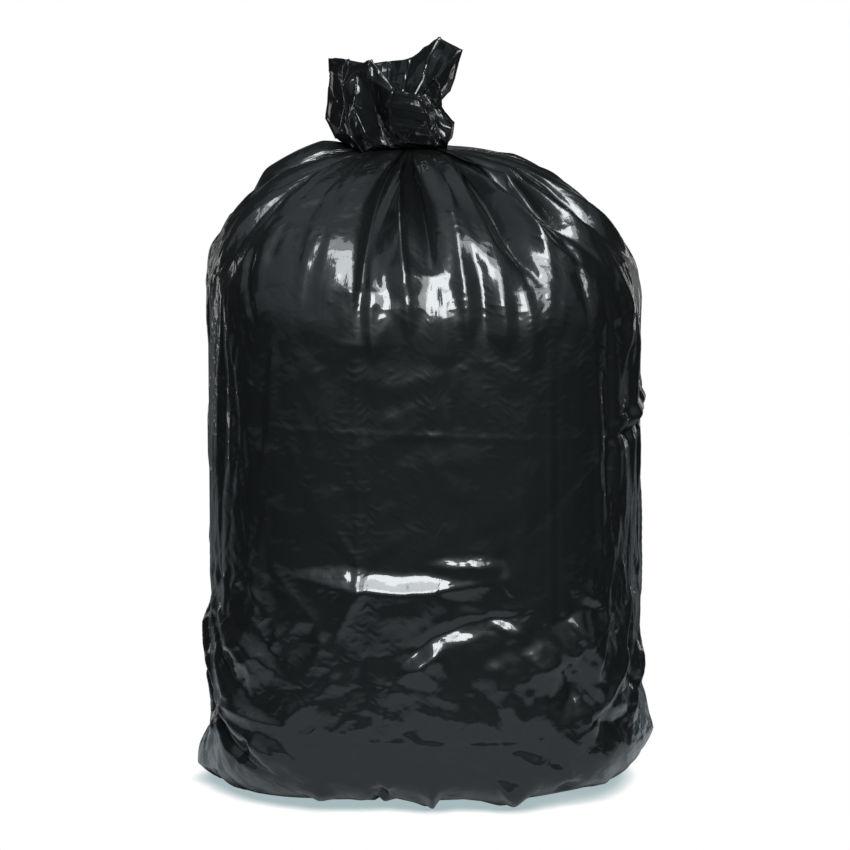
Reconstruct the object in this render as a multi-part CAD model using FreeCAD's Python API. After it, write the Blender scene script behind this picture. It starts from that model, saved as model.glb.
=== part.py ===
# A full bin bag, tied with its own film and standing on its base. Millimetres, +Z up, front towards -Y.
# The origin is the middle of the flat patch that the bag stands on.
#
# Thin film lies in flat facets that meet at sharp creases, so the skin is a net of flat facets. Its columns
# are lines of the film that run from the foot, over the shoulder and through the tied neck to the rim.
import FreeCAD, Part
import math
import os

# Driving dimensions: alias, value, what it is.
SIZES = [
    ("film_girth", 1474.0, "girth of the open film tube, twice its flat width of 737"),
    ("wall_width", 428.0, "filled wall, left to right"),
    ("wall_depth", 376.0, "filled wall, front to back"),
    ("wall_boxiness", 3.1, "2 is an ellipse, more is squarer"),
    ("foot_height", 56.0, "floor to where the wall stands upright"),
    ("foot_inset", 40.0, "from the wall in to the edge of the resting patch"),
    ("side_shoulder_height", 490.0, "where the left and right walls turn in"),
    ("front_shoulder_height", 458.0, "where the front and back walls turn in"),
    ("neck_height", 634.0, "floor to the tie"),
    ("neck_width", 68.0, "gathered film at the tie, left to right"),
    ("neck_depth", 56.0, "gathered film at the tie, front to back"),
    ("neck_offset", -12.0, "middle of the tie, left of the bag's middle"),
    ("gather_share", 0.75, "how much of the spare girth the gathers take up"),
    ("gather_limit", 0.36, "deepest gather, as a share of the distance to its middle"),
    ("tuft_width", 126.0, "bunched mouth, left to right"),
    ("tuft_depth", 104.0, "bunched mouth, front to back"),
    ("tuft_offset", -31.0, "middle of the bunched mouth, left of the bag's middle"),
    ("tuft_height", 80.0, "tie to the mean height of the rim"),
    ("tuft_twist", -30.0, "degrees that the film turns between tie and rim"),
    ("mouth_depth", 46.0, "rim to the bottom of the hollow inside the mouth"),
    ("lip_thickness", 9.0, "doubled and folded film at the rim"),
    ("fold_unit", 1.0, "unit of the lengths in the tables of folds, ears and lobes"),
]

# Gathers: azimuth of the valley in degrees (0 is the front, 90 the right), depth against the others, where it
# starts, from 0 at the shoulder's foot to 1 at the tie, and how far its pleat leans over, from -1 to 1.
GATHERS = [
    (-163.0, 0.8, 0.40, 0.4),
    (-142.0, 1.1, 0.25, -0.5),
    (-119.0, 0.7, 0.50, 0.3),
    (-97.0, 1.0, 0.35, -0.4),
    (-78.0, 0.8, 0.55, 0.5),
    (-59.0, 1.2, 0.22, 0.4),
    (-38.0, 0.5, 0.62, -0.4),
    (-18.0, 1.2, 0.28, 0.6),
    (4.0, 1.0, 0.38, -0.6),
    (17.0, 0.4, 0.70, 0.4),
    (31.0, 1.2, 0.26, 0.5),
    (46.0, 0.7, 0.42, -0.5),
    (63.0, 0.9, 0.30, -0.5),
    (82.0, 0.7, 0.52, 0.4),
    (101.0, 1.0, 0.34, -0.4),
    (124.0, 0.8, 0.42, 0.5),
    (146.0, 1.2, 0.24, -0.5),
    (171.0, 0.9, 0.36, 0.4),
]
GATHER_SHARPNESS = 1.5
COLUMNS_PER_FLANK = 3

# Folds, each a low tent over its crease: its reach outwards (minus is inwards), its width on the left and on the
# right of someone who walks along the crease, the share of the crease at which it is highest, and the crease as
# (azimuth, height along the film). The height along the film is the height above the floor up to the shoulder.
FOLDS = [
    # the shoulder
    (10, 13, 46, 0.5, [(-13, 676), (-22, 638), (-42, 606), (-52, 546), (-56, 500)]),
    (-7, 12, 34, 0.5, [(-15, 664), (-27, 622), (-47, 588), (-58, 520)]),
    (9, 20, 34, 0.5, [(-44, 700), (-56, 640), (-62, 590), (-68, 520)]),
    (8, 22, 30, 0.5, [(-68, 706), (-76, 640), (-84, 560), (-88, 480)]),
    (-14, 30, 13, 0.35, [(-10, 690), (-14, 610), (-19, 505)]),
    (13, 20, 20, 0.55, [(-6.5, 690), (-4.5, 600), (-4.2, 452)]),
    (-13, 13, 28, 0.4, [(2, 684), (5, 600), (6.5, 520)]),
    (6, 26, 26, 0.5, [(16, 648), (13, 566), (11, 480)]),
    (-13, 26, 14, 0.4, [(27, 698), (26, 620), (28, 560), (36, 502)]),
    (11, 13, 34, 0.45, [(32, 706), (33.6, 620), (41, 560), (50, 508)]),
    (-9, 26, 16, 0.45, [(36, 700), (41, 640), (48, 575), (54, 520)]),
    (11, 15, 26, 0.55, [(37, 708), (41, 672), (48, 640), (51, 594), (60, 540)]),
    (-8, 18, 18, 0.5, [(46, 712), (56, 650), (61, 596), (69, 520)]),
    (8, 20, 24, 0.5, [(52, 716), (62, 684), (66, 630), (76, 500)]),
    (7, 28, 24, 0.5, [(76, 722), (79, 650), (85, 560), (88, 480)]),
    (14, 75, 75, 0.55, [(-86, 740), (-90, 690), (-93, 640), (-95, 580)]),
    (-11, 60, 60, 0.5, [(-88, 625), (-90, 575), (-91, 520)]),
    (-19, 75, 75, 0.5, [(89, 680), (91, 600), (92, 500)]),
    # the lower left corner's slanting folds
    (-7, 22, 11, 0.5, [(-72, 190), (-60, 140), (-48, 108)]),
    (7, 9, 26, 0.5, [(-70, 176), (-58, 108), (-40, 82)]),
    (-10, 30, 11, 0.5, [(-76, 102), (-58, 62), (-40, 28)]),
    (7, 10, 32, 0.5, [(-70, 108), (-53, 74), (-36, 44)]),
    (8, 10, 26, 0.5, [(-90, 206), (-80, 140), (-68, 84)]),
    # the band low on the front, the curved fold and the bulges under it
    (6.5, 19, 70, 0.5, [(-42, 236), (-26, 225), (-8, 219), (8, 222), (20, 230)]),
    (-9, 9, 16, 0.5, [(-9, 140), (1.7, 176), (14, 192), (34, 200)]),
    (9, 9, 44, 0.45, [(-8, 134), (6, 170), (22, 187), (36, 160)]),
    (10, 34, 34, 0.5, [(18, 118), (34, 142), (43, 160), (56, 196)]),
    (-9, 24, 10, 0.5, [(34, 96), (37, 131), (51, 180)]),
    # the lower right corner
    (9, 10, 32, 0.4, [(50, 182), (47, 130), (45, 76)]),
    (8, 10, 26, 0.5, [(62, 162), (54, 118), (44, 80)]),
    (-10, 10, 28, 0.5, [(43, 92), (56, 82), (68, 92)]),
    (-8, 14, 14, 0.5, [(67, 158), (65, 92)]),
    (7, 12, 24, 0.5, [(74, 176), (70, 120), (64, 70)]),
    # the pinch on the right
    (-7, 14, 14, 0.6, [(46, 356), (62, 366), (84, 382)]),
    (6, 10, 26, 0.6, [(48, 370), (66, 384), (88, 402)]),
    # upright folds in both sides
    (-5, 13, 20, 0.5, [(50, 520), (54, 236)]),
    (5, 20, 13, 0.5, [(62, 556), (64, 290)]),
    (-5, 13, 20, 0.5, [(73, 540), (71, 226)]),
    (-5, 20, 14, 0.5, [(90, 520), (94, 160)]),
    (-5, 20, 13, 0.5, [(-58, 500), (-61, 250)]),
    (-6, 13, 20, 0.5, [(-73, 540), (-72, 214)]),
    (-5, 20, 14, 0.5, [(-93, 500), (-97, 150)]),
    # the back
    (-7, 28, 14, 0.5, [(106, 70), (130, 130), (156, 210)]),
    (7, 12, 36, 0.5, [(120, 40), (146, 90), (172, 164)]),
    (-7, 14, 28, 0.5, [(-176, 182), (-146, 150), (-118, 94)]),
    (7, 36, 12, 0.5, [(-156, 256), (-130, 190), (-104, 136)]),
    (-5, 24, 14, 0.5, [(150, 296), (180, 316), (208, 328)]),
    (-5, 20, 14, 0.5, [(118, 500), (122, 230)]),
    (-5, 20, 14, 0.5, [(-124, 510), (-121, 260)]),
]
FOLD_SHARPNESS = 1.1
# The folds fade out over this length of film below the tie.
FOLD_FADE = 30.0

# Ears, the two corners of the bottom seal: azimuth, height, reach, half angle, half height.
EARS = [
    (-88.0, 30.0, 22.0, 15.0, 26.0),
    (86.0, 52.0, 16.0, 20.0, 44.0),
]

# Lobes of the rim: azimuth, rise above the mean rim, half angle.
RIM_LOBES = [
    (-80.0, 12.0, 50.0),
    (6.0, -30.0, 32.0),
    (94.0, 34.0, 40.0),
    (178.0, 8.0, 60.0),
]

# Folds of the mouth: azimuth at the rim, depth as a share of the radius, half angle.
MOUTH_FOLDS = [
    (-96.0, 0.30, 22.0),
    (-52.0, 0.26, 20.0),
    (-14.0, 0.34, 20.0),
    (34.0, 0.42, 24.0),
    (74.0, 0.26, 18.0),
    (118.0, 0.38, 24.0),
    (164.0, 0.28, 24.0),
    (-146.0, 0.36, 26.0),
]

# The band of film folded across the tuft's front: azimuth at the tie, azimuth at the rim, reach, half angle.
BAND = (30.0, -34.0, 11.0, 20.0)

FOOT_LEVELS = 5
WALL_LEVELS = 19
# Above 1, the wall's levels lie closer together lower down, where its folds are.
WALL_CROWDING = 1.25
SHOULDER_LEVELS = 17
# The tuft from the tie up, as shares of the rim's height and of the tuft's own size.
TUFT_LEVELS = [(0.06, 0.78), (0.16, 0.92), (0.32, 0.96), (0.50, 0.92), (0.68, 0.94), (0.84, 0.98), (0.95, 1.0)]
MOUTH_LEVELS = [(0.0, 0.0), (0.18, 0.6), (0.5, 1.0), (0.8, 1.5)]


def make_sheet(doc):
    """The driving dimensions as aliased cells."""
    sheet = doc.addObject("Spreadsheet::Sheet", "sizes")
    for row, (alias, value, note) in enumerate(SIZES, start=1):
        sheet.set(f"A{row}", note)
        sheet.set(f"B{row}", str(value))
        sheet.setAlias(f"B{row}", alias)
    doc.recompute()
    return sheet


def turned(azimuth, other):
    """Signed turn in degrees from one azimuth to another, the short way round."""
    return (other - azimuth + 180.0) % 360.0 - 180.0


def bump(distance, half_width):
    """1 in the middle, falling to 0 at half_width, with a sharp crest."""
    return max(0.0, 1.0 - abs(distance) / half_width)


def film_columns():
    """Each line of film: its azimuth, its gather, and its place on the gather from 0 at the valley to 1 at a crest."""
    columns = []
    count = len(GATHERS)
    for index, (valley, _depth, _start, _lean) in enumerate(GATHERS):
        before = turned(valley, GATHERS[index - 1][0]) / 2.0
        after = turned(valley, GATHERS[(index + 1) % count][0]) / 2.0
        for step in range(-COLUMNS_PER_FLANK, COLUMNS_PER_FLANK):
            share = step / COLUMNS_PER_FLANK
            columns.append((valley + (-share * before if step < 0 else share * after), index, abs(share)))
    return columns


def superellipse(azimuth, half_width, half_depth, power):
    """Distance from the middle to a rounded box's edge, along an azimuth."""
    across = abs(math.sin(math.radians(azimuth))) / half_width
    along = abs(math.cos(math.radians(azimuth))) / half_depth
    return (across**power + along**power) ** (-1.0 / power)


class Bag:
    """Works out the film's points from the sheet."""

    def __init__(self, sheet):
        for alias, _value, _note in SIZES:
            setattr(self, alias, getattr(sheet, alias))
        self.columns = film_columns()
        self.runs = self.wall_runs()
        self.folds = [self.laid_out(fold) for fold in FOLDS]

    def wall_runs(self):
        """Lengths round the wall from the front to each whole degree of azimuth."""
        runs = [0.0]
        for degree in range(360):
            ends = []
            for azimuth in (degree, degree + 1):
                radius = superellipse(azimuth, self.wall_width / 2.0, self.wall_depth / 2.0, self.wall_boxiness)
                ends.append(self.point(azimuth, radius, 0.0))
            runs.append(runs[-1] + (ends[1] - ends[0]).Length)
        return runs

    def run_at(self, azimuth):
        """Length round the wall from the front to an azimuth, less than none to the left."""
        whole = math.floor(azimuth)
        first = self.runs[whole % 360] + self.runs[-1] * (whole // 360)
        step = self.runs[whole % 360 + 1] - self.runs[whole % 360]
        return first + step * (azimuth - whole)

    def laid_out(self, fold):
        """A fold with its lengths at full size and its crease in lengths round and along the film."""
        reach, left, right, peak, crease = fold
        unit = self.fold_unit
        points = [(self.run_at(azimuth), height * unit) for azimuth, height in crease]
        return reach * unit, left * unit, right * unit, peak, points

    def shoulder_height(self, azimuth):
        """The front and back panels turn in lower than the sides."""
        side = math.sin(math.radians(azimuth)) ** 2
        return self.front_shoulder_height + (self.side_shoulder_height - self.front_shoulder_height) * side

    def rim_height(self, azimuth):
        """The mouth's edge, which stands in lobes."""
        rise = sum(lift * bump(turned(middle, azimuth), half) for middle, lift, half in RIM_LOBES)
        return self.neck_height + self.tuft_height + rise * self.fold_unit

    def tent(self, fold, run, along):
        """How far one fold moves a point of the film outwards."""
        reach, left, right, peak, points = fold
        spans = [math.dist(a, b) for a, b in zip(points, points[1:])]
        best, share, done = 1.0, 0.0, 0.0
        for (x, y), (next_x, next_y), span in zip(points, points[1:], spans):
            across = (run - x + self.runs[-1] / 2.0) % self.runs[-1] - self.runs[-1] / 2.0
            up = along - y
            step_x, step_y = (next_x - x) / span, (next_y - y) / span
            inside = min(max(across * step_x + up * step_y, 0.0), span)
            gap = math.hypot(across - inside * step_x, up - inside * step_y)
            gap /= left if across * step_y - up * step_x < 0.0 else right
            if gap < best:
                best = gap
                share = (done + inside) / sum(spans)
            done += span
        fall = 1.0 - share / peak if share < peak else (share - peak) / (1.0 - peak)
        return reach * max(0.0, 1.0 - best - fall) ** FOLD_SHARPNESS

    def moved(self, azimuth, height, along):
        """How far the folds and ears move a point of the film outwards."""
        run = self.run_at(azimuth)
        total = sum(self.tent(fold, run, along) for fold in self.folds)
        for middle, ear_height, reach, half_angle, half_height in EARS:
            rise = bump(height - ear_height * self.fold_unit, half_height * self.fold_unit)
            total += reach * self.fold_unit * bump(turned(middle, azimuth), half_angle) * rise
        return total

    def point(self, azimuth, radius, height, centre_x=0.0):
        angle = math.radians(azimuth)
        return FreeCAD.Vector(centre_x + radius * math.sin(angle), -radius * math.cos(angle), height)

    def smooth_line(self, azimuth):
        """One line of film without its folds, from the foot to the tie: half width, half depth, power, height, rise."""
        half_width, half_depth = self.wall_width / 2.0, self.wall_depth / 2.0
        shoulder = self.shoulder_height(azimuth)
        line = []
        for step in range(FOOT_LEVELS):
            angle = math.pi / 2.0 * step / FOOT_LEVELS
            inset = self.foot_inset * (1.0 - math.sin(angle))
            height = self.foot_height * (1.0 - math.cos(angle))
            line.append((half_width - inset, half_depth - inset, self.wall_boxiness, height, 0.0))
        for step in range(WALL_LEVELS):
            share = (step / WALL_LEVELS) ** WALL_CROWDING
            height = self.foot_height + share * (shoulder - self.foot_height)
            line.append((half_width, half_depth, self.wall_boxiness, height, 0.0))
        for step in range(SHOULDER_LEVELS + 1):
            angle = math.pi / 2.0 * step / SHOULDER_LEVELS
            rise, spread = math.sin(angle), math.cos(angle)
            wide = self.neck_width / 2.0 + (half_width - self.neck_width / 2.0) * spread
            deep = self.neck_depth / 2.0 + (half_depth - self.neck_depth / 2.0) * spread
            power = 2.0 + (self.wall_boxiness - 2.0) * spread
            line.append((wide, deep, power, shoulder + (self.neck_height - shoulder) * rise, rise))
        return line

    def gathered(self, point, column, rise):
        """Draws a point of the shoulder in to the tie, in a pleat that leans over its neighbour."""
        _azimuth, index, place = column
        _valley, depth, start, lean = GATHERS[index]
        outward = FreeCAD.Vector(point.x - self.neck_offset, point.y, 0.0)
        radius = outward.Length
        outward = outward * (1.0 / radius)
        sideways = FreeCAD.Vector(-outward.y, outward.x, 0.0)
        spare = math.sqrt(max(0.0, self.film_girth**2 - (2.0 * math.pi * radius) ** 2))
        full = min(self.gather_share * spare / (2.0 * len(GATHERS)), self.gather_limit * radius)
        grown = math.sqrt(max(0.0, min(1.0, (rise - start) / (1.0 - start))))
        drawn = full * depth * grown * (1.0 - place) ** GATHER_SHARPNESS
        leaned = lean * full * grown * math.sin(math.pi * place) * 0.5
        sunk = FreeCAD.Vector(0.0, 0.0, -drawn * 0.35 * rise * (1.0 - rise))
        return point - outward * drawn + sideways * leaned + sunk

    def film_line(self, column):
        """One line of film from the foot to the tie, with its folds and gathers."""
        azimuth = column[0]
        line = self.smooth_line(azimuth)
        points = [
            self.point(azimuth, superellipse(azimuth, wide, deep, power), height, self.neck_offset * rise)
            for wide, deep, power, height, rise in line
        ]
        spans = [0.0] + [(high - low).Length for low, high in zip(points, points[1:])]
        alongs = [sum(spans[: index + 1]) for index in range(len(spans))]
        start = alongs[FOOT_LEVELS] - self.foot_height
        bent = []
        for index, (wide, deep, power, height, rise) in enumerate(line):
            place = points[index]
            x, y = (place.x - self.neck_offset * rise) / wide, place.y / deep
            level = FreeCAD.Vector(
                math.copysign(abs(x) ** (power - 1.0) / wide, x), math.copysign(abs(y) ** (power - 1.0) / deep, y), 0.0
            )
            level.normalize()
            below, above = points[max(index - 1, 0)], points[min(index + 1, len(points) - 1)]
            slope = above - below
            outward = level * slope.z - FreeCAD.Vector(0.0, 0.0, slope.x * level.x + slope.y * level.y)
            outward.normalize()
            fade = min(1.0, (alongs[-1] - alongs[index]) / (FOLD_FADE * self.fold_unit))
            reach = self.moved(azimuth, height, alongs[index] - start) * fade
            if index == 0:
                outward = level
            bent.append(self.gathered(place, column, rise) + outward * reach)
        return bent

    def body_rings(self):
        """Foot, wall and shoulder."""
        lines = [self.film_line(column) for column in self.columns]
        return [list(ring) for ring in zip(*lines)]

    def tuft_point(self, column, share, size, inset, drop):
        """A point of the bunched mouth: share of the way up to the rim, size against the tuft's own."""
        azimuth, index, place = column
        azimuth += self.tuft_twist * share
        radius = superellipse(azimuth, self.tuft_width / 2.0 * size, self.tuft_depth / 2.0 * size, 2.0)
        pleat = self.gather_limit * GATHERS[index][1] * (1.0 - place) ** GATHER_SHARPNESS
        fold = sum(depth * bump(turned(middle, azimuth), half) for middle, depth, half in MOUTH_FOLDS)
        radius *= 1.0 - pleat * (1.0 - 0.8 * share) - fold * share
        tie_azimuth, rim_azimuth, reach, half = BAND
        radius += reach * self.fold_unit * bump(turned(tie_azimuth + (rim_azimuth - tie_azimuth) * share, azimuth), half)
        radius = max(radius - inset, radius * 0.3)
        height = self.neck_height + share * (self.rim_height(azimuth) - self.neck_height) - drop
        centre = self.neck_offset + (self.tuft_offset - self.neck_offset) * min(1.0, share * 3.0)
        return self.point(azimuth, radius, height, centre)

    def tuft_rings(self):
        outside = [[self.tuft_point(c, share, size, 0.0, 0.0) for c in self.columns] for share, size in TUFT_LEVELS]
        inside = [
            [
                self.tuft_point(c, 1.0, 1.0, self.lip_thickness * (0.5 + 1.6 * thick), self.mouth_depth * deep)
                for c in self.columns
            ]
            for deep, thick in MOUTH_LEVELS
        ]
        return outside + inside

    def rings(self):
        return self.body_rings() + self.tuft_rings()


def facets_between(low, high):
    """Two flat facets for each cell between two rings, creased along its shorter diagonal."""
    facets = []
    count = len(low)
    for i in range(count):
        a, b = low[i], low[(i + 1) % count]
        c, d = high[(i + 1) % count], high[i]
        if (a - c).Length < (b - d).Length:
            facets += [(a, b, c), (a, c, d)]
        else:
            facets += [(a, b, d), (b, c, d)]
    return facets


def film_solid(rings):
    """The closed solid inside the film: facets, a flat resting patch and the bottom of the mouth."""
    facets = []
    for low, high in zip(rings, rings[1:]):
        facets += facets_between(low, high)
    last = rings[-1]
    middle = sum(last, FreeCAD.Vector()) * (1.0 / len(last))
    facets += [(last[i], last[(i + 1) % len(last)], middle) for i in range(len(last))]
    faces = [Part.Face(Part.makePolygon([a, b, c, a])) for a, b, c in facets]
    faces.append(Part.Face(Part.makePolygon(rings[0] + rings[0][:1])))
    solid = Part.Solid(Part.makeShell(faces))
    if solid.Volume < 0.0:
        solid.reverse()
    return solid, len(facets)


def main():
    doc = FreeCAD.newDocument("bin_bag")
    sheet = make_sheet(doc)
    bag = doc.addObject("Part::Feature", "bin_bag")
    bag.Label = "bin_bag"
    bag.Shape, count = film_solid(Bag(sheet).rings())
    doc.recompute()
    for obj in doc.Objects:
        if "Invalid" in obj.State or "Error" in obj.State:
            raise RuntimeError(f"{obj.Label} failed: {obj.State}")
    if bag.Shape.isNull() or not bag.Shape.isValid():
        raise RuntimeError("the bag's solid isn't valid")
    os.makedirs("parts", exist_ok=True)
    bag.Shape.exportStep("parts/bin_bag.step")
    box = bag.Shape.BoundBox
    print(f"{count} facets, {box.XLength:.1f} x {box.YLength:.1f} x {box.ZLength:.1f} mm")
    print(f"x {box.XMin:.1f} to {box.XMax:.1f}, y {box.YMin:.1f} to {box.YMax:.1f}, {bag.Shape.Volume / 1e6:.1f} litres")


main()
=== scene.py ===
# Looks of the full, tied bin bag: thin black film over loose contents, on a white studio floor.
import math

import bpy
import numpy as np
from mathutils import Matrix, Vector


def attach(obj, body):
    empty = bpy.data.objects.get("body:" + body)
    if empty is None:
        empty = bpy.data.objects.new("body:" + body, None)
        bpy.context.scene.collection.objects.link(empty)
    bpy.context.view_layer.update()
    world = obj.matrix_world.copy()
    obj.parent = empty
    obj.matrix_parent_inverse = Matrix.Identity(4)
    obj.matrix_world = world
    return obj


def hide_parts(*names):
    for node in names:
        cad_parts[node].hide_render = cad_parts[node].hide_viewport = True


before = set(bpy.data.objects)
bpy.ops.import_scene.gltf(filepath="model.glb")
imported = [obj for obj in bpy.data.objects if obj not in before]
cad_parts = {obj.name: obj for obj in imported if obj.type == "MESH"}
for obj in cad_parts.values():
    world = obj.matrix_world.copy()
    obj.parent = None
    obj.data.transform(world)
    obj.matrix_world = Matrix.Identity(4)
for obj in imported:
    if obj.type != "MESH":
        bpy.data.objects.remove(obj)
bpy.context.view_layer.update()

# Sizes, in metres, as the CAD part has them.
FILM_GIRTH = 1.474
WALL_HALF_WIDTH = 0.214
WALL_HALF_DEPTH = 0.188
WALL_BOXINESS = 3.1
FOOT_HEIGHT = 0.056
FOOT_INSET = 0.040
SIDE_SHOULDER = 0.490
FRONT_SHOULDER = 0.458
NECK_HEIGHT = 0.634
NECK_HALF_WIDTH = 0.034
NECK_HALF_DEPTH = 0.028
NECK_X = -0.012

# The smallest gap between the film and the floor.
FLOOR_GAP = 0.0004

BODY_SEED = 7
TUFT_SEED = 11


# Camera and stage

# The photo's angle: from the front, a little above and with a long lens. The width is what the picture shows
# at the target.
CAMERA_DISTANCE = 4.0
CAMERA_ELEVATION = math.radians(8.0)
CAMERA_TARGET = Vector((0.0005, 0.0, 0.3552))
PICTURE_WIDTH = 0.85
SENSOR_WIDTH = 36.0

# The room as the film mirrors it, in stops of (direction, grey). A direction goes from -1 to 1: rise is up,
# depth is to the back and side is to the right.
ROOM_BY_RISE = [(-0.3, 0.05), (-0.02, 0.11), (0.10, 0.24), (0.5, 0.42)]
ROOM_BY_DEPTH = [(-0.32, 1.0), (-0.16, 0.08)]
ROOM_BY_SIDE = [(-0.4, 1.0), (0.0, 0.9), (0.4, 0.55)]
CEILING_BY_RISE = [(0.7, 0.0), (0.95, 0.9)]
ROOM_TINT = (1.0, 1.14, 1.2)
SWEEP_BY_DEPTH = [(0.62, 0.0), (0.78, 0.08), (0.93, 0.25)]
SWEEP_BY_RISE = [(0.0, 1.0), (0.25, 0.02)]

# The floor's shadow, as the camera sees it.
SHADOW_REACH = 0.019
SHADOW_SAMPLES = 16
SHADOW_STOPS = [(0.25, (0.38, 0.48, 0.50, 1.0)), (0.9, (1.0, 1.0, 1.0, 1.0))]

# The floor as the film mirrors it, in painted light: its grey falls with the distance from the middle and
# rises to the back.
FLOOR_PAINTED_LIGHT_BY_DISTANCE = (0.4, 0.66, 0.5, 0.03)
FLOOR_PAINTED_LIGHT_BY_DEPTH = (0.2, 0.8, 0.0, 0.25)
FLOOR_TINT = (0.96, 1.02, 1.06)

# The large softbox in front: its middle, the way up its slanted face and the way it points, then its panels
# with their place across and up the face, width and height, and power.
SOFTBOX_MIDDLE = Vector((0.0, -2.05, 1.72))
SOFTBOX_UP = Vector((0.0, 0.51, 0.86))
SOFTBOX_AIM = Vector((0.0, 0.86, -0.51))
SOFTBOX_COLOUR = (0.96, 1.0, 1.02)
SOFTBOX_PANELS = {
    "front_panel": (0.02, -0.25, (0.96, 0.75), 50.0),
    "front_panel_upper": (0.02, 0.45, (0.96, 0.65), 28.0),
    "front_panel_top": (0.15, 1.0, (1.6, 0.45), 10.0),
    "front_panel_right": (0.80, 0.0, (0.6, 1.25), 16.0),
}

# The strips behind, for the rims of light: place across and power.
STRIPS = {"left_strip": (-1.8, 1.8), "right_strip": (1.8, 2.5)}
STRIP_DEPTH = 1.7
STRIP_HEIGHT = 0.6
STRIP_AIM = (0.0, 0.0, 0.4)
STRIP_SIZE = (0.5, 0.9)


def make_camera():
    data = bpy.data.cameras.new("photo_camera")
    data.sensor_width = SENSOR_WIDTH
    data.lens = SENSOR_WIDTH * CAMERA_DISTANCE / PICTURE_WIDTH
    camera = bpy.data.objects.new("photo_camera", data)
    bpy.context.scene.collection.objects.link(camera)
    away = Vector((0.0, -math.cos(CAMERA_ELEVATION), math.sin(CAMERA_ELEVATION)))
    camera.location = CAMERA_TARGET + away * CAMERA_DISTANCE
    camera.rotation_euler = (math.radians(90.0) - CAMERA_ELEVATION, 0.0, 0.0)
    bpy.context.scene.camera = camera


def area_light(name, place, aim, size, power, colour=(1.0, 1.0, 1.0)):
    data = bpy.data.lights.new(name, "AREA")
    data.shape = "RECTANGLE"
    data.size, data.size_y = size
    data.energy = power
    data.color = colour
    light = bpy.data.objects.new(name, data)
    bpy.context.scene.collection.objects.link(light)
    light.location = place
    light.rotation_euler = (Vector(aim) - Vector(place)).to_track_quat("-Z", "Y").to_euler()
    light.visible_camera = False


def ramp_of(tree, value, stops):
    """A grey ramp over a value from -1 to 1, through stops of (value, grey)."""
    spread = tree.nodes.new("ShaderNodeMapRange")
    spread.inputs["From Min"].default_value = -1.0
    ramp = tree.nodes.new("ShaderNodeValToRGB")
    while len(ramp.color_ramp.elements) < len(stops):
        ramp.color_ramp.elements.new(0.5)
    for element, (place, grey) in zip(ramp.color_ramp.elements, stops):
        element.position = (place + 1.0) / 2.0
        element.color = (grey, grey, grey, 1.0)
    tree.links.new(value, spread.inputs["Value"])
    tree.links.new(spread.outputs["Result"], ramp.inputs["Fac"])
    return ramp.outputs["Color"]


def joined(tree, operation, first, second):
    node = tree.nodes.new("ShaderNodeVectorMath")
    node.operation = operation
    tree.links.new(first, node.inputs[0])
    if isinstance(second, tuple):
        node.inputs[1].default_value = second
    else:
        tree.links.new(second, node.inputs[1])
    return node.outputs[0]


def ranged(tree, value, low, high, to_low, to_high, interpolation="LINEAR"):
    spread = tree.nodes.new("ShaderNodeMapRange")
    spread.interpolation_type = interpolation
    spread.inputs["From Min"].default_value = low
    spread.inputs["From Max"].default_value = high
    spread.inputs["To Min"].default_value = to_low
    spread.inputs["To Max"].default_value = to_high
    tree.links.new(value, spread.inputs["Value"])
    return spread.outputs["Result"]


def make_world():
    """White to the camera. To the film it is a dim room in front, dark sides and a white sweep behind."""
    world = bpy.data.worlds.new("studio")
    bpy.context.scene.world = world
    world.use_nodes = True
    tree = world.node_tree
    tree.nodes.clear()
    out = tree.nodes.new("ShaderNodeOutputWorld")
    path = tree.nodes.new("ShaderNodeLightPath")
    split = tree.nodes.new("ShaderNodeSeparateXYZ")
    room = tree.nodes.new("ShaderNodeBackground")
    white = tree.nodes.new("ShaderNodeBackground")
    mix = tree.nodes.new("ShaderNodeMixShader")
    tree.links.new(tree.nodes.new("ShaderNodeTexCoord").outputs["Generated"], split.inputs[0])
    side, depth, rise = (split.outputs[axis] for axis in "XYZ")
    shown = joined(tree, "ADD", ramp_of(tree, depth, ROOM_BY_DEPTH), ramp_of(tree, rise, CEILING_BY_RISE))
    tone = joined(tree, "MULTIPLY", ramp_of(tree, rise, ROOM_BY_RISE), shown)
    tone = joined(tree, "MULTIPLY", tone, ramp_of(tree, side, ROOM_BY_SIDE))
    sweep = joined(tree, "MULTIPLY", ramp_of(tree, depth, SWEEP_BY_DEPTH), ramp_of(tree, rise, SWEEP_BY_RISE))
    tone = joined(tree, "ADD", joined(tree, "MULTIPLY", tone, ROOM_TINT), sweep)
    tree.links.new(tone, room.inputs["Color"])
    white.inputs["Color"].default_value = (1.0, 1.0, 1.0, 1.0)
    tree.links.new(path.outputs["Is Camera Ray"], mix.inputs["Fac"])
    tree.links.new(room.outputs[0], mix.inputs[1])
    tree.links.new(white.outputs[0], mix.inputs[2])
    tree.links.new(mix.outputs[0], out.inputs["Surface"])


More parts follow.
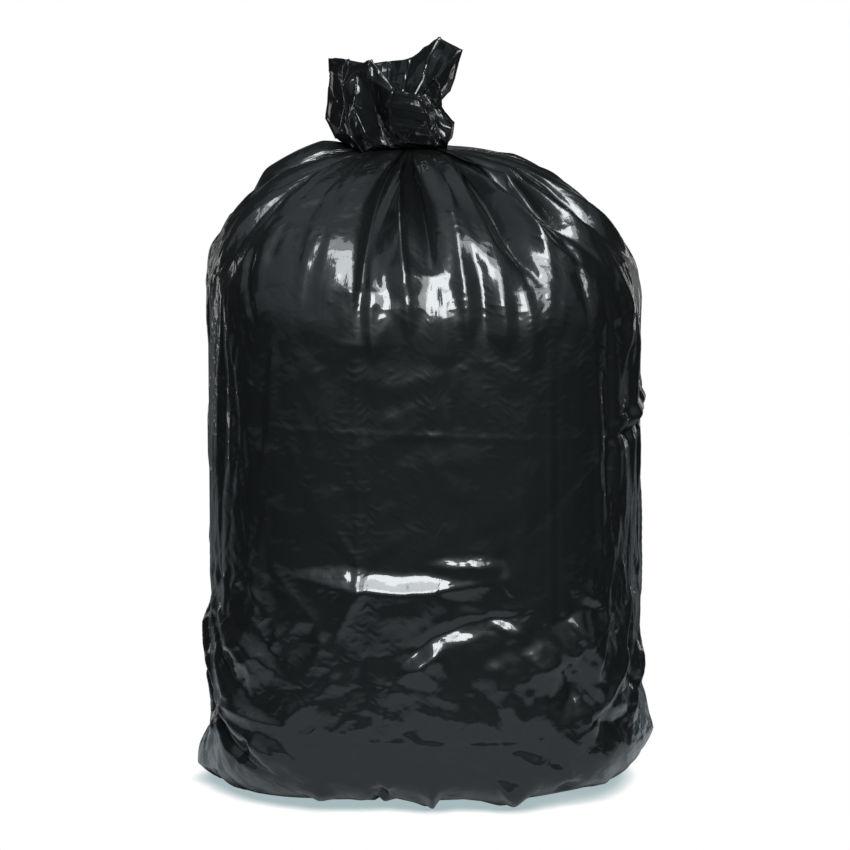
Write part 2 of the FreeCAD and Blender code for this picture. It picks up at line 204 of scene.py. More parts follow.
def make_floor():
    """A white floor with a soft cool shadow right round the foot of the bag."""
    bpy.ops.mesh.primitive_plane_add(size=9.0, location=(0.0, 1.5, 0.0))
    floor = bpy.context.object
    floor.name = "floor"
    material = bpy.data.materials.new("white_floor")
    material.use_nodes = True
    tree = material.node_tree
    tree.nodes.clear()
    out = tree.nodes.new("ShaderNodeOutputMaterial")
    path = tree.nodes.new("ShaderNodeLightPath")
    near = tree.nodes.new("ShaderNodeAmbientOcclusion")
    near.samples = SHADOW_SAMPLES
    near.inputs["Distance"].default_value = SHADOW_REACH
    ramp = tree.nodes.new("ShaderNodeValToRGB")
    for element, (openness, colour) in zip(ramp.color_ramp.elements, SHADOW_STOPS):
        element.position = openness
        element.color = colour
    shown = tree.nodes.new("ShaderNodeEmission")
    lit = tree.nodes.new("ShaderNodeBsdfDiffuse")
    place = tree.nodes.new("ShaderNodeNewGeometry")
    apart = tree.nodes.new("ShaderNodeVectorMath")
    apart.operation = "LENGTH"
    tree.links.new(place.outputs["Position"], apart.inputs[0])
    split = tree.nodes.new("ShaderNodeSeparateXYZ")
    tree.links.new(place.outputs["Position"], split.inputs[0])
    # Painted light: the floor's grey in the film's reflections is bright round the bag, darker away from it
    # and lighter to the back.
    around = ranged(tree, apart.outputs["Value"], *FLOOR_PAINTED_LIGHT_BY_DISTANCE, interpolation="SMOOTHSTEP")
    tone = joined(tree, "ADD", around, ranged(tree, split.outputs["Y"], *FLOOR_PAINTED_LIGHT_BY_DEPTH))
    tree.links.new(joined(tree, "MULTIPLY", tone, FLOOR_TINT), lit.inputs["Color"])
    mix = tree.nodes.new("ShaderNodeMixShader")
    tree.links.new(near.outputs["AO"], ramp.inputs["Fac"])
    tree.links.new(ramp.outputs["Color"], shown.inputs["Color"])
    tree.links.new(path.outputs["Is Camera Ray"], mix.inputs["Fac"])
    tree.links.new(lit.outputs[0], mix.inputs[1])
    tree.links.new(shown.outputs[0], mix.inputs[2])
    tree.links.new(mix.outputs[0], out.inputs["Surface"])
    floor.data.materials.append(material)


def make_lights():
    for name, (across, up, size, power) in SOFTBOX_PANELS.items():
        place = SOFTBOX_MIDDLE + Vector((across, 0.0, 0.0)) + up * SOFTBOX_UP
        area_light(name, place, place + SOFTBOX_AIM, size, power, SOFTBOX_COLOUR)
    for name, (across, power) in STRIPS.items():
        area_light(name, (across, STRIP_DEPTH, STRIP_HEIGHT), STRIP_AIM, STRIP_SIZE, power)


# The film as a grid of rows, from the foot up, and columns, which go round from the back by the left

# Rings drawn for the foot, the wall and the shoulder, before the film's rows are spaced evenly over them.
FOOT_STEPS = 40
WALL_STEPS = 60
SHOULDER_STEPS = 120
# How much more film than wall there is round the bag: everywhere, round both sides and over the back.
TAUT_SLACK = 0.004
SIDE_SLACK = 0.11
BACK_SLACK = 0.03


def rounded_box(azimuth, half_width, half_depth, power):
    """Distance from the middle to a rounded box's edge, along an azimuth."""
    across = np.abs(np.sin(azimuth)) / half_width
    along = np.abs(np.cos(azimuth)) / half_depth
    return (across**power + along**power) ** (-1.0 / power)


def smooth_step(low, high, value):
    share = np.clip((value - low) / (high - low), 0.0, 1.0)
    return share * share * (3.0 - 2.0 * share)


def turned(degrees, middle):
    """Degrees from the middle to an azimuth, from -180 to 180."""
    return (degrees - middle + 180.0) % 360.0 - 180.0


def film_lines(columns):
    """Azimuths of evenly spaced lines of film, taut over the front and slack round the sides.

    Also gives the wall's run at each, in metres from the front.
    """
    fine = np.linspace(-math.pi, math.pi, 7201)
    radius = rounded_box(fine, WALL_HALF_WIDTH, WALL_HALF_DEPTH, WALL_BOXINESS)
    run = np.hypot(np.diff(radius * np.sin(fine)), np.diff(radius * np.cos(fine)))
    middle = np.abs(np.degrees((fine[1:] + fine[:-1]) / 2.0))
    slack = TAUT_SLACK + SIDE_SLACK * np.exp(-(((middle - 82.0) / 30.0) ** 2))
    slack += BACK_SLACK * smooth_step(120.0, 160.0, middle)
    film = np.concatenate([[0.0], np.cumsum(run * (1.0 + slack))])
    wall = np.concatenate([[0.0], np.cumsum(run)])
    azimuths = np.interp(np.arange(columns) / columns, film / film[-1], fine)
    return azimuths, np.interp(azimuths, fine, wall - wall[-1] / 2.0)


def smooth_skin(azimuths, rows):
    """The bag's form without its folds, from the foot to the tie, and each point's height along the film."""
    shoulder = FRONT_SHOULDER + (SIDE_SHOULDER - FRONT_SHOULDER) * np.sin(azimuths) ** 2
    radii, heights, offsets = [], [], []
    for angle in np.linspace(0.0, math.pi / 2.0, FOOT_STEPS, endpoint=False):
        inset = FOOT_INSET * (1.0 - math.sin(angle))
        radii.append(rounded_box(azimuths, WALL_HALF_WIDTH - inset, WALL_HALF_DEPTH - inset, WALL_BOXINESS))
        heights.append(FOOT_HEIGHT * (1.0 - math.cos(angle)) + 0.0 * azimuths)
        offsets.append(0.0)
    for share in np.linspace(0.0, 1.0, WALL_STEPS, endpoint=False):
        radii.append(rounded_box(azimuths, WALL_HALF_WIDTH, WALL_HALF_DEPTH, WALL_BOXINESS))
        heights.append(FOOT_HEIGHT + share * (shoulder - FOOT_HEIGHT))
        offsets.append(0.0)
    for angle in np.linspace(0.0, math.pi / 2.0, SHOULDER_STEPS):
        rise, spread = math.sin(angle), math.cos(angle)
        half_width = NECK_HALF_WIDTH + (WALL_HALF_WIDTH - NECK_HALF_WIDTH) * spread
        half_depth = NECK_HALF_DEPTH + (WALL_HALF_DEPTH - NECK_HALF_DEPTH) * spread
        radii.append(rounded_box(azimuths, half_width, half_depth, 2.0 + (WALL_BOXINESS - 2.0) * spread))
        heights.append(shoulder + (NECK_HEIGHT - shoulder) * rise)
        offsets.append(NECK_X * rise)
    radii, heights, offsets = np.array(radii), np.array(heights), np.array(offsets)[:, None]
    dense = np.stack([offsets + radii * np.sin(azimuths), -radii * np.cos(azimuths), heights], axis=-1)
    run = np.linalg.norm(np.diff(dense, axis=0), axis=2)
    run = np.concatenate([np.zeros((1, len(azimuths))), np.cumsum(run, axis=0)])
    skin = np.zeros((rows, len(azimuths), 3))
    along = np.zeros((rows, len(azimuths)))
    for column in range(len(azimuths)):
        place = np.linspace(0.0, run[-1, column], rows)
        along[:, column] = place - run[FOOT_STEPS, column] + FOOT_HEIGHT
        for axis in range(3):
            skin[:, column, axis] = np.interp(place, run[:, column], dense[:, column, axis])
    return skin, along


def refined(grid, rows, columns):
    """A grid, closed round its columns, at another number of rows and columns."""
    old_rows, old_columns = grid.shape[:2]
    place = np.linspace(0.0, old_rows - 1.0, rows)
    low = np.minimum(place.astype(int), old_rows - 2)
    share = (place - low)[:, None, None]
    grid = grid[low] * (1.0 - share) + grid[low + 1] * share
    place = np.arange(columns) * old_columns / columns
    low = place.astype(int)
    share = (place - low)[None, :, None]
    return grid[:, low] * (1.0 - share) + grid[:, (low + 1) % old_columns] * share


def normals_of(grid):
    across = np.roll(grid, -1, axis=1) - np.roll(grid, 1, axis=1)
    along = np.empty_like(grid)
    along[1:-1] = grid[2:] - grid[:-2]
    along[0], along[-1] = grid[1] - grid[0], grid[-1] - grid[-2]
    normal = np.cross(across, along)
    return normal / np.maximum(np.sqrt(np.einsum("ijk,ijk->ij", normal, normal)), 1e-12)[..., None]


def softened(grid):
    grid = (np.roll(grid, 1, 1) + 2.0 * grid + np.roll(grid, -1, 1)) / 4.0
    grid[1:-1] = (grid[2:] + 2.0 * grid[1:-1] + grid[:-2]) / 4.0
    return grid


def soft_noise(shape, scale, rng):
    """Smooth noise of unit height, with features about as many cells tall and wide as scale says."""
    rows = max(4, int(shape[0] / scale[0]) + 3)
    columns = max(4, int(round(shape[1] / scale[1])))
    noise = rng.standard_normal((rows, columns, 1))
    while rows < shape[0] or columns < shape[1]:
        rows, columns = min(rows * 2, shape[0]), min(columns * 2, shape[1])
        noise = softened(refined(noise, rows, columns))
    return noise[..., 0] / noise.std()


# Folds that the photo shows. Thin film folds in flat facets, so each is a low tent: its reach outwards (minus
# is inwards), its width on the left and on the right of its crease, both in millimetres, the share of the
# crease at which it is highest, and the crease as (azimuth in degrees, height along the film in millimetres).
# Heights along the film are heights above the floor up to the shoulder.
SHOULDER_FOLDS = [
    (3.5, 26, 46, 0.5, [(-13, 676), (-22, 638), (-42, 606), (-52, 546), (-56, 500)]),
    (-3, 26, 34, 0.5, [(-15, 664), (-27, 622), (-47, 588), (-58, 520)]),
    (4, 26, 34, 0.5, [(-44, 700), (-56, 640), (-62, 590), (-68, 520)]),
    (6, 22, 30, 0.5, [(-68, 706), (-76, 640), (-84, 560), (-88, 480)]),
    (1.5, 4, 28, 0.3, [(-44, 590), (-45, 545), (-44, 492)]),
    (1.5, 4, 28, 0.3, [(-50, 590), (-51, 535), (-51, 492)]),
    (0.9, 4, 24, 0.4, [(-31, 584), (-33, 520), (-33.5, 470)]),
    (0.8, 4, 22, 0.4, [(-26, 596), (-28, 550), (-28.5, 500)]),
    (1.0, 4, 20, 0.4, [(-21.3, 576), (-21.3, 530), (-21.5, 490)]),
    (-7, 30, 9, 0.3, [(-10, 690), (-14, 610), (-17.5, 530)]),
    (7, 17, 17, 0.3, [(-6.5, 690), (-5.4, 630), (-4.4, 530)]),
    (5, 20, 22, 0.5, [(-4.8, 572), (-4.3, 456)]),
    (1.6, 5, 6, 0.5, [(-5.2, 612), (-4.6, 550), (-4.2, 470)]),
    (4.2, 26, 8, 0.7, [(-15.5, 545), (-15, 436)]),
    (5, 5, 50, 0.5, [(-19.5, 612), (-19.5, 540), (-19.5, 462)]),
    (2.4, 18, 20, 0.75, [(6.6, 530), (6, 430)]),
    (-9, 13, 26, 0.3, [(2, 684), (4.6, 610), (6.4, 520)]),
    (4, 12, 15, 0.6, [(13, 566), (13, 450)]),
    (4.6, 14, 20, 0.6, [(24, 540), (22, 440)]),
    (5, 26, 26, 0.5, [(16, 648), (14, 590), (13, 520)]),
    (2.6, 16, 18, 0.75, [(30, 530), (29, 424)]),
    (-3, 11, 10, 0.5, [(17.5, 572), (18, 500), (17, 448)]),
    (-13, 26, 14, 0.4, [(27, 698), (26, 620), (28, 560), (36, 502)]),
    (11, 13, 34, 0.45, [(32, 706), (33.6, 620), (41, 560), (50, 508)]),
    (-9, 26, 16, 0.45, [(36, 700), (41, 640), (48, 575), (54, 520)]),
    (11, 15, 26, 0.55, [(37, 708), (41, 672), (48, 640), (51, 594), (60, 540)]),
    (-8, 18, 18, 0.5, [(46, 712), (56, 650), (61, 596), (69, 520)]),
    (8, 20, 24, 0.5, [(52, 716), (62, 684), (66, 630), (76, 500)]),
    (7, 28, 24, 0.5, [(76, 722), (79, 650), (85, 560), (88, 480)]),
    (14, 75, 75, 0.55, [(-86, 740), (-90, 690), (-93, 640), (-95, 580)]),
    (-11, 60, 60, 0.5, [(-88, 625), (-90, 575), (-91, 520)]),
    (-14, 75, 75, 0.5, [(89, 670), (91, 600), (92, 500)]),
    (8, 26, 26, 0.5, [(96, 716), (99, 660), (104, 590)]),
]
WALL_FOLDS = [
    # lower left corner
    (3.5, 22, 34, 0.6, [(-52, 262), (-44, 200), (-34, 132)]),
    (3, 18, 30, 0.6, [(-47, 270), (-30, 188), (-25, 118)]),
    (-3, 20, 16, 0.5, [(-58, 240), (-46, 176), (-36, 128)]),
    (4, 16, 28, 0.5, [(-66, 204), (-55, 158), (-44, 120)]),
    (-5, 22, 18, 0.5, [(-72, 190), (-60, 140), (-48, 108)]),
    (4, 16, 28, 0.5, [(-60, 186), (-46, 150), (-33, 122)]),
    (5, 16, 28, 0.5, [(-70, 176), (-58, 108), (-40, 82)]),
    (-10, 30, 11, 0.5, [(-76, 102), (-58, 62), (-40, 28)]),
    (7, 10, 32, 0.5, [(-70, 108), (-53, 74), (-36, 44)]),
    (3, 10, 26, 0.5, [(-52, 84), (-33, 44)]),
    (5, 8, 20, 0.5, [(-64, 100), (-36, 84)]),
    (-6, 24, 9, 0.5, [(-86, 150), (-76, 110), (-64, 48)]),
    (8, 10, 26, 0.5, [(-90, 206), (-80, 140), (-68, 84)]),
    # the band of light low on the front, and the ripples round it
    (9, 19, 70, 0.5, [(-38, 236), (-24, 225), (-8, 219), (6, 222), (22, 231)]),
    (3.2, 10, 34, 0.5, [(-2, 248), (10, 244), (24, 246)]),
    (2.6, 8, 30, 0.5, [(-38, 234), (-26, 236), (-14, 242)]),
    (1.5, 9, 26, 0.5, [(-11, 156), (5, 130)]),
    (1.3, 8, 26, 0.5, [(-17, 136), (-3, 118)]),
    (1.5, 8, 28, 0.5, [(-20, 112), (-3, 86)]),
    (1.3, 8, 26, 0.5, [(-9, 126), (14, 110)]),
    (1.3, 8, 26, 0.5, [(-5, 106), (18, 88)]),
    # the curved fold and the bulges under it
    (-4.5, 7, 30, 0.5, [(-9, 140), (1.7, 176), (14, 192), (34, 200)]),
    (3.2, 16, 54, 0.3, [(-9, 130), (4, 166), (17, 178), (26, 172)]),
    (4.2, 14, 30, 0.5, [(-6, 136), (7, 168)]),
    (7, 34, 34, 0.5, [(18, 118), (34, 142), (43, 160), (56, 196)]),
    (-5, 24, 20, 0.5, [(34, 96), (37, 131), (51, 180)]),
    (-4, 12, 24, 0.5, [(31, 180), (44, 200), (56, 190)]),
    # lower right corner
    (6, 18, 32, 0.4, [(50, 182), (47, 130), (45, 76)]),
    (-4, 22, 20, 0.5, [(46, 158), (36, 80)]),
    (8, 10, 26, 0.5, [(62, 162), (54, 118), (44, 80)]),
    (-6, 12, 34, 0.5, [(43, 92), (56, 82), (68, 92)]),
    (-5, 16, 16, 0.5, [(67, 158), (65, 92)]),
    (7, 12, 24, 0.5, [(74, 176), (70, 120), (64, 70)]),
    (3, 10, 34, 0.5, [(10, 56), (20, 30), (30, 2)]),
    (3, 10, 30, 0.5, [(22, 66), (36, 40), (48, 14)]),
    # puckers where the foot meets the floor
    (-9, 9, 9, 0.7, [(-14, 34), (-13.5, 14), (-13, -6)]),
    (9, 16, 14, 0.7, [(1, 40), (2.5, 12), (3, -8)]),
    (8, 30, 12, 0.7, [(20, 34), (27, 8), (29, -8)]),
    (6, 22, 22, 0.7, [(-30, 30), (-32, 6), (-33, -8)]),
    (-6, 16, 16, 0.7, [(40, 30), (42, 10), (43, -6)]),
    # the pinch on the right
    (-7, 14, 14, 0.6, [(46, 356), (62, 366), (84, 382)]),
    (6, 10, 26, 0.6, [(48, 370), (66, 384), (88, 402)]),
    # upright folds in both sides
    (-5, 13, 20, 0.5, [(50, 520), (54, 236)]),
    (5, 20, 13, 0.5, [(62, 556), (64, 290)]),
    (-5, 13, 20, 0.5, [(73, 540), (71, 226)]),
    (-5, 20, 14, 0.5, [(90, 520), (94, 160)]),
    (-5, 20, 13, 0.5, [(-58, 500), (-61, 250)]),
    (-6, 13, 20, 0.5, [(-73, 540), (-72, 214)]),
    (-5, 20, 14, 0.5, [(-93, 500), (-97, 150)]),
    # the back
    (-5, 20, 14, 0.5, [(118, 500), (122, 230)]),
    (-5, 20, 14, 0.5, [(-124, 510), (-121, 260)]),
    (-7, 28, 14, 0.5, [(106, 70), (130, 130), (156, 210)]),
    (7, 12, 36, 0.5, [(120, 40), (146, 90), (172, 164)]),
    (-7, 14, 28, 0.5, [(-176, 182), (-146, 150), (-118, 94)]),
    (7, 36, 12, 0.5, [(-156, 256), (-130, 190), (-104, 136)]),
    (-5, 24, 14, 0.5, [(150, 296), (-180, 316), (-152, 328)]),
]
# Packing creases, pressed in while the empty bag lay folded: sharp and shallow.
CREASES = [
    (1.3, 3.5, 4, 0.5, [(-20, 580), (-19.3, 473), (-19.3, 375), (-18.7, 211), (-18.2, 26)]),
    (1.0, 4, 4, 0.5, [(36.4, 552), (34, 443), (34.3, 359), (34.3, 249), (35.7, 50)]),
    (-0.8, 4, 4, 0.5, [(38.2, 548), (36.0, 443), (36.2, 359), (36.2, 249), (37.5, 50)]),
    (0.6, 3.5, 6, 0.5, [(-80, 386), (-20.8, 374), (14, 370), (49, 364), (78, 362)]),
    (1.0, 3, 6, 0.5, [(-7, 372.5), (9, 371)]),
    (1.2, 3, 12, 0.4, [(-61, 262), (-46, 214), (-34, 160)]),
    (1.2, 3, 12, 0.4, [(-61, 258), (-50, 200), (-40, 140)]),
    (1.0, 3, 12, 0.4, [(-62, 256), (-55, 196), (-47, 140)]),
    (1.0, 3, 12, 0.4, [(-60, 264), (-42, 228), (-28, 190)]),
    (1.5, 3.5, 7, 0.5, [(-48, 80), (-6, 70), (22, 68), (52, 76)]),
    (1.0, 5, 5, 0.5, [(146, 40), (145, 300), (146, 550)]),
    (1.0, 5, 5, 0.5, [(-160, 40), (-161, 300), (-160, 550)]),
    (1.0, 4, 10, 0.5, [(92, 364), (150, 372), (-160, 370), (-100, 380)]),
]
# Lesser folds, strewn by chance: how many, where (azimuth and height along the film), their lean from upright
# in degrees, their length, their width and their reach.
SHOULDER_STREWN = [
    (50, (-60, -14), (480, 690), (-20, 20), (50, 120), (8, 20), 1.3),
    (60, (-14, 62), (470, 690), (-20, 20), (40, 110), (7, 20), 1.5),
    (46, (62, 300), (500, 690), (-20, 20), (40, 120), (9, 22), 2.4),
]
WALL_STREWN = [
    (90, (-46, 46), (230, 520), (-80, 80), (40, 130), (14, 40), 1.1),
    (120, (42, 136), (120, 560), (-14, 14), (60, 220), (7, 18), 3.2),
    (120, (-136, -42), (120, 560), (-14, 14), (60, 220), (7, 18), 3.2),
    (60, (136, 224), (200, 540), (-30, 30), (50, 160), (12, 30), 2.2),
    (80, (-100, -14), (0, 230), (20, 65), (50, 150), (12, 34), 3.0),
    (80, (14, 100), (0, 230), (-65, -20), (50, 150), (12, 34), 3.0),
    (90, (100, 260), (0, 230), (-70, 70), (50, 140), (12, 30), 4.0),
    (60, (-30, 30), (0, 210), (50, 130), (40, 130), (14, 40), 1.3),
]
# Ears, the two corners of the bottom seal: azimuth, height, reach, half angle and half height.
EARS = [(-84.0, 0.026, 0.022, 21.0, 0.032), (84.0, 0.052, 0.016, 24.0, 0.046)]
# How far the foot's edge stays off the floor, in millimetres, by azimuth, and the height where that ends.
FOOT_LIFTS = [
    (-180, 2), (-120, 4), (-90, 0), (-66, 0), (-50, 4), (-38, 6), (-22, 6), (-17.5, 6), (-16, 11), (-14, 5),
    (-10, 8), (-4, 4), (0, 0), (3, 0), (5, 6), (14, 7), (20, 5), (26, 0), (29, 1), (34, 7), (44, 10),
    (52, 11), (60, 10), (70, 6), (80, 3), (90, 0), (130, 3), (180, 2),
]
FOOT_LIFT_HEIGHT = 0.045
# How far the foot leans in under the front.
FRONT_FOOT_LEAN = 0.007
# The folds fade out over this length of film below the tie.
FOLD_FADE = 0.03
# How steeply a tent's flanks run up to its crease, where 1 is straight.
TENT_SHARPNESS = 1.4


def add_tent(moved, x, y, girth, fold, points):
    """Adds one fold's tent to the film. x runs round the wall and y along the film, both in millimetres."""
    reach, left, right, peak = fold
    margin = max(left, right)
    low, high = min(p[1] for p in points) - margin, max(p[1] for p in points) + margin
    rows = np.nonzero((y.max(axis=1) > low) & (y.min(axis=1) < high))[0]
    if len(rows) == 0:
        return
    band = slice(rows[0], rows[-1] + 1)
    x, y = x[band], y[band]
    spans = [math.dist(a, b) for a, b in zip(points, points[1:])]
    best = np.full(x.shape, 1e9)
    share = np.zeros(x.shape)
    done = 0.0
    for (x0, y0), (x1, y1), span in zip(points, points[1:], spans):
        across = (x - x0 + girth / 2.0) % girth - girth / 2.0
        up = y - y0
        step_x, step_y = (x1 - x0) / span, (y1 - y0) / span
        inside = np.clip(across * step_x + up * step_y, 0.0, span)
        gap = np.hypot(across - inside * step_x, up - inside * step_y)
        gap = gap / np.where(across * step_y - up * step_x < 0.0, left, right)
        closer = gap < best
        best = np.where(closer, gap, best)
        share = np.where(closer, (done + inside) / sum(spans), share)
        done += span
    fall = np.where(share < peak, 1.0 - share / peak, (share - peak) / (1.0 - peak))
    taper = np.minimum(1.0, 1.5 * (1.0 - fall))
    moved[band] += reach * 0.001 * np.maximum(0.0, taper - best) ** TENT_SHARPNESS


def fold_height(folds, strewn, azimuth, wall_run, along, rng):
    """How far the folds move each point of the film outwards, in metres."""
    moved = np.zeros(along.shape)
    x, y = wall_run * 1000.0, along * 1000.0
    girth = -2.0 * x.min()

    def run_at(degrees):
        return np.interp(math.radians(turned(degrees, 0.0)), azimuth[0], wall_run[0]) * 1000.0

    for *fold, line in folds:
        points = []
        for degrees, height in line:
            run = run_at(degrees)
            if points:
                run += round((points[-1][0] - run) / girth) * girth
            points.append((run, height))
        add_tent(moved, x, y, girth, fold, points)
    for count, across, up, lean, length, width, reach in strewn:
        for _ in range(count):
            run, height = run_at(rng.uniform(*across)), rng.uniform(*up)
            angle, span = math.radians(rng.uniform(*lean)), rng.uniform(*length) / 2.0
            step = (math.sin(angle) * span, math.cos(angle) * span)
            bend = rng.uniform(-0.12, 0.12)
            points = [
                (run - step[0], height - step[1]),
                (run + bend * step[1], height - bend * step[0]),
                (run + step[0], height + step[1]),
            ]
            sides = rng.uniform(*width) * np.array([1.0, rng.uniform(0.3, 1.0)])
            rng.shuffle(sides)
            fold = (reach * rng.uniform(-1.0, 1.0), sides[0], sides[1], rng.uniform(0.25, 0.75))
            add_tent(moved, x, y, girth, fold, points)
    return moved


# Gathers at the tie: azimuth of the valley, depth against the others, where it starts, from 0 at the foot of
# the shoulder to 1 at the tie, and how far its pleat leans over, from -1 to 1.
GATHERS = [
    (-163.0, 0.8, 0.40, 0.4),
    (-142.0, 1.1, 0.25, -0.5),
    (-119.0, 0.7, 0.50, 0.3),
    (-97.0, 1.0, 0.35, -0.4),
    (-78.0, 0.8, 0.55, 0.5),
    (-59.0, 1.2, 0.22, 0.4),
    (-38.0, 0.5, 0.62, -0.4),
    (-18.0, 1.2, 0.28, 0.6),
    (4.0, 1.0, 0.38, -0.6),
    (17.0, 0.4, 0.70, 0.4),
    (31.0, 1.2, 0.26, 0.5),
    (46.0, 0.7, 0.42, -0.5),
    (63.0, 0.9, 0.30, -0.5),
    (82.0, 0.7, 0.52, 0.4),
    (101.0, 1.0, 0.34, -0.4),
    (124.0, 0.8, 0.42, 0.5),
    (146.0, 1.2, 0.24, -0.5),
    (171.0, 0.9, 0.36, 0.4),
]
GATHER_SHARE = 0.75
GATHER_LIMIT = 0.36
GATHER_SHARPNESS = 1.5


def add_gathers(skin, azimuth):
    """Draws the shoulder in to the tie in pleats that start at different places and lean over one another."""
    degrees = np.degrees(azimuth)
    radius = np.hypot(skin[..., 0] - NECK_X, skin[..., 1])
    shoulder = FRONT_SHOULDER + (SIDE_SHOULDER - FRONT_SHOULDER) * np.sin(azimuth) ** 2
    level = np.clip((skin[..., 2] - shoulder) / (NECK_HEIGHT - shoulder), 0.0, 1.0)
    spare = np.sqrt(np.maximum(FILM_GIRTH**2 - (2.0 * math.pi * radius) ** 2, 0.0)) / (2.0 * len(GATHERS))
    full = np.minimum(GATHER_SHARE * spare, GATHER_LIMIT * radius)
    count = len(GATHERS)
    drawn = np.zeros(degrees.shape)
    leaned = np.zeros(degrees.shape)
    for index, (valley, depth, start, lean) in enumerate(GATHERS):
        turn = turned(degrees, valley)
        before = turned(GATHERS[index - 1][0], valley) / 2.0
        after = turned(GATHERS[(index + 1) % count][0], valley) / 2.0
        place = np.where(turn < 0.0, turn / before, turn / after)
        mine = (turn >= before) & (turn < after)
        grown = np.sqrt(np.clip((level - start) / (1.0 - start), 0.0, 1.0))
        draw = full * depth * grown * np.clip(1.0 - place, 0.0, 1.0) ** GATHER_SHARPNESS
        push = lean * full * grown * np.sin(math.pi * np.clip(place, 0.0, 1.0)) * 0.5
        drawn = np.where(mine, draw, drawn)
        leaned = np.where(mine, push, leaned)
    out_x, out_y = (skin[..., 0] - NECK_X) / radius, skin[..., 1] / radius
    moved = skin.copy()
    moved[..., 0] += -out_x * drawn - out_y * leaned
    moved[..., 1] += -out_y * drawn + out_x * leaned
    moved[..., 2] -= drawn * 0.35 * level * (1.0 - level)
    return moved


# The film's own simulation: it keeps its lengths and stays near its drawn shape

DAMPING = 0.9
# How much of its error a stretch of film takes back in each step, when it is too long and when too short.
ALONG_PULL = (1.0, 0.5)
ACROSS_PULL = (1.0, 0.6)
SLANTED_PULL = (0.35, 0.25)
# How much of the way back to its drawn place the film goes in each step.
HOLD = 0.02


def gap_squared(a, b):
    return np.einsum("ijk,ijk->ij", a - b, a - b)


def slanted_rest(low, high, spare):
    return np.sqrt(np.maximum(gap_squared(low, high) + spare, 1e-10)).astype(np.float32)


def pull(a, b, rest, share):
    """Moves two rows or columns of points towards their rest length from each other."""
    gap = b - a
    length = np.sqrt(np.einsum("ijk,ijk->ij", gap, gap))
    error = (length - rest) / np.maximum(length, 1e-9)
    move = gap * (np.where(error > 0.0, share[0], share[1]) * error * 0.5)[..., None]
    return a + move, b - move


def settle(film, home, rest_across, rest_along, steps, reach, weight, bend, free_rim=False):
    """Relaxes a grid of film, closed round its columns, and keeps it within reach of home, out and in.

    Its first row stays in place, and so does its last unless the rim is free.
    """
    film = film.astype(np.float32)
    home = home.astype(np.float32)
    outward = normals_of(home).astype(np.float32)
    out_reach, in_reach = reach
    fall = np.float32([0.0, 0.0, -weight])
    before = film.copy()
    beside = np.roll(home, -1, 1)
    spare = rest_across[:-1] ** 2 - gap_squared(home, beside)[:-1]
    spare += rest_along**2 - gap_squared(home[:-1], home[1:])
    rest_right = slanted_rest(home[:-1], beside[1:], spare)
    rest_left = slanted_rest(beside[:-1], home[1:], spare)
    rest_across = rest_across.astype(np.float32)
    rest_along = rest_along.astype(np.float32)
    first_row, last_row = film[0].copy(), film[-1].copy()
    columns = film.shape[1]
    even, odd = np.arange(0, columns, 2), np.arange(1, columns, 2)
    pairs = ((even, odd), (odd, (odd + 1) % columns))
    for _ in range(steps):
        speed = (film - before) * DAMPING
        before = film.copy()
        film = film + speed + fall
        film += (home - film) * HOLD
        for row in (0, 1):
            a, b = film[row:-1:2], film[row + 1 :: 2]
            film[row:-1:2], film[row + 1 :: 2] = pull(a, b, rest_along[row::2], ALONG_PULL)
        for first, second in pairs:
            a, b = film[:, first], film[:, second]
            film[:, first], film[:, second] = pull(a, b, rest_across[:, first], ACROSS_PULL)
        for first, second in pairs:
            for low, high, rest in ((first, second, rest_right), (second, first, rest_left)):
                for row in (0, 1):
                    a, b = film[row:-1:2, low], film[row + 1 :: 2, high]
                    a, b = pull(a, b, rest[row::2][:, first], SLANTED_PULL)
                    film[row:-1:2, low], film[row + 1 :: 2, high] = a, b
        curl = np.roll(film, 1, 1) + np.roll(film, -1, 1) - 2.0 * film
        curl[1:-1] += film[2:] + film[:-2] - 2.0 * film[1:-1]
        film[1:-1] -= bend * 0.125 * (np.roll(curl, 1, 1) + np.roll(curl, -1, 1) - 2.0 * curl)[1:-1]
        rise = np.einsum("ijk,ijk->ij", film - home, outward)
        kept = np.clip(rise, -in_reach, out_reach) - rise
        film += outward * kept[..., None]
        film[..., 2] = np.maximum(film[..., 2], FLOOR_GAP)
        film[0] = first_row
        if not free_rim:
            film[-1] = last_row
    return film.astype(np.float64)


BODY_ROWS, BODY_COLUMNS = 320, 576
BODY_STEPS = 40
BODY_WEIGHT = 0.00001
BODY_BEND = 0.012
# The film's slack round the bag as a share of its length: everywhere, in the sides and over the back.
SLACK_ACROSS, SIDE_SLACK_ACROSS, BACK_SLACK_ACROSS = 0.002, 0.035, 0.012
# Its slack along the bag: everywhere, and low down.
SLACK_ALONG, LOW_SLACK_ALONG = 0.001, 0.016
# Noise that the film starts from, in cells of the grid tall and wide.
PATCHES = (42, 20)
TALL_WRINKLES = (38, 7)
FINE_WRINKLES = (20, 3.5)
BLOTCHES = (7, 6)
SWELLS = (22, 18)


